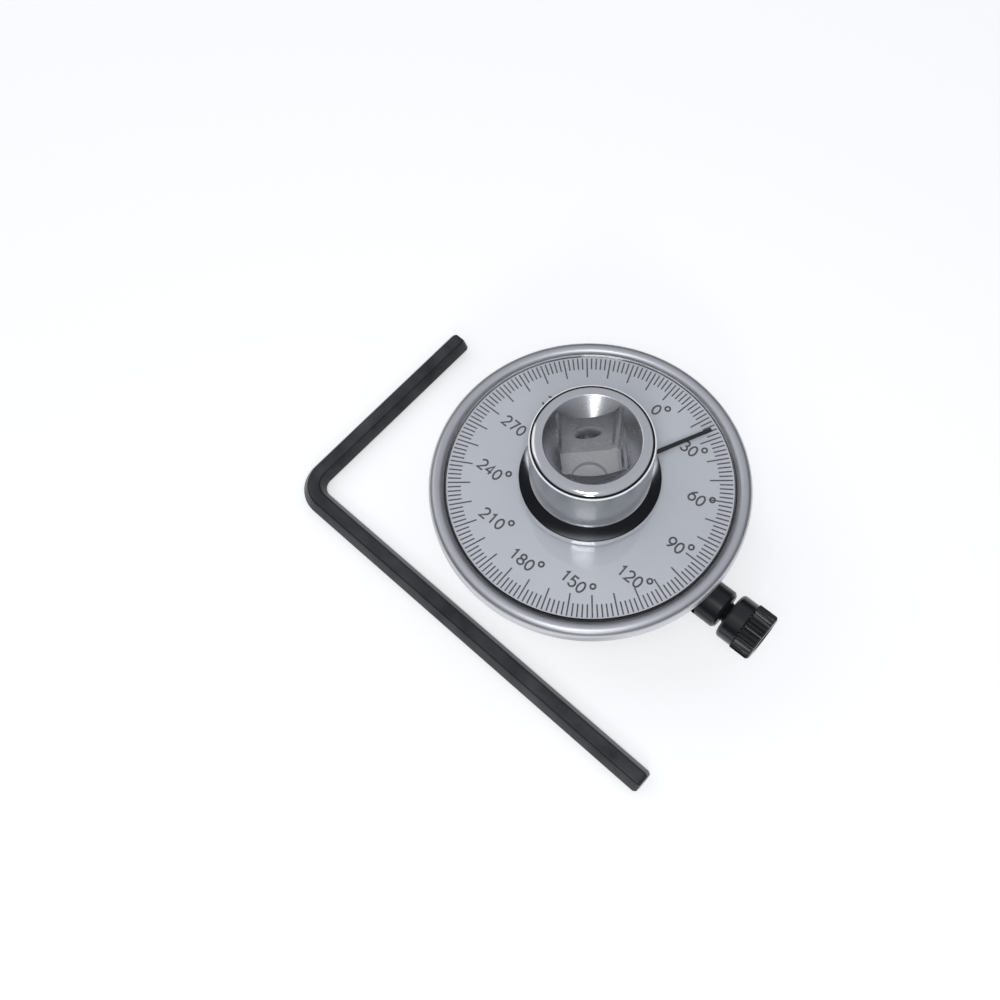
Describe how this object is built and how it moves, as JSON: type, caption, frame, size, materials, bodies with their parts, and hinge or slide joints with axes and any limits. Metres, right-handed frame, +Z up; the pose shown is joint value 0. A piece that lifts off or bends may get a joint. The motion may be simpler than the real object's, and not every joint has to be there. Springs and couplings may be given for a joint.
{
  "type": "torque angle gauge",
  "caption": "Torque angle gauge with a square drive spindle, a graduated round dial, a pointer on a clear lens, a rod clamp with a knurled thumb knob and a loose bent reaction rod.",
  "frame": {"origin": "centre of the male square's end face, on the drive axis", "axes": "+Z up along the drive axis towards the female square, +X from the drive axis to the rod clamp and the 90 degree line of the dial, +Y to the zero line of the dial"},
  "size_m": [0.1095, 0.0733, 0.0532],
  "materials": {
    "chrome": "polished chrome plate",
    "bright_steel": "ground",
    "spring_steel": "oiled spring steel",
    "black_rubber": "matte",
    "bronze": "sintered bronze",
    "satin_aluminium": "satin turned",
    "dial_white": "satin white",
    "clear_lens": "clear plastic",
    "pointer_black": "printed black",
    "black_oxide": "black oxide",
    "black_knob": "satin black",
    "black_rod": "black oxide hexagon bar"
  },
  "bodies": {
    "spindle": {"drive_spindle": "chrome", "detent_spring": "spring_steel", "friction_ring": "black_rubber", "thrust_washer": "bright_steel", "wave_washer": "spring_steel", "retaining_clip": "spring_steel"},
    "housing": {"dial_housing": "satin_aluminium", "upper_bush": "bronze", "lower_bush": "bronze", "dial_plate": "dial_white", "dial_seal": "black_rubber", "clamp_post": "black_oxide", "lock_nut": "black_oxide"},
    "lens": {"lens": "clear_lens", "pointer": "pointer_black"},
    "detent": {"detent_ball": "bright_steel"},
    "pad": {"pressure_pad": "bronze"},
    "knob": {"thumb_screw": "black_oxide", "knob": "black_knob"},
    "rod": {"reaction_rod": "black_rod"}
  },
  "joints": [
    {"name": "housing_turn", "type": "hinge", "parent": "spindle", "child": "housing", "pos_m": [0, 0, 0.0255], "axis": [0, 0, 1], "continuous": true},
    {"name": "pointer_set", "type": "hinge", "parent": "spindle", "child": "lens", "pos_m": [0, 0, 0.0337], "axis": [0, 0, 1], "continuous": true},
    {"name": "detent_press", "type": "slide", "parent": "spindle", "child": "detent", "axis": [-0.7071, 0.7071, 0], "range_m": [0, 0.0012], "stiffness_N_per_m": 800, "springref_m": -0.001, "deforming": ["detent_spring"]},
    {"name": "clamp_travel", "type": "slide", "parent": "housing", "child": "pad", "axis": [1, 0, 0], "range_m": [-0.0008, 0.0024]},
    {"name": "knob_turn", "type": "hinge", "parent": "pad", "child": "knob", "pos_m": [0.0384, 0, 0.0195], "axis": [1, 0, 0], "range_deg": [-361, 1081]},
    {"name": "rod_slide", "type": "slide", "parent": "spindle", "child": "rod", "axis": [-0.7071, -0.7071, 0], "range_m": [0, 0.06]}
  ],
  "couplings": [
    {"joint": "knob_turn", "follows": "clamp_travel", "rad_per_m": 7854}
  ]
}
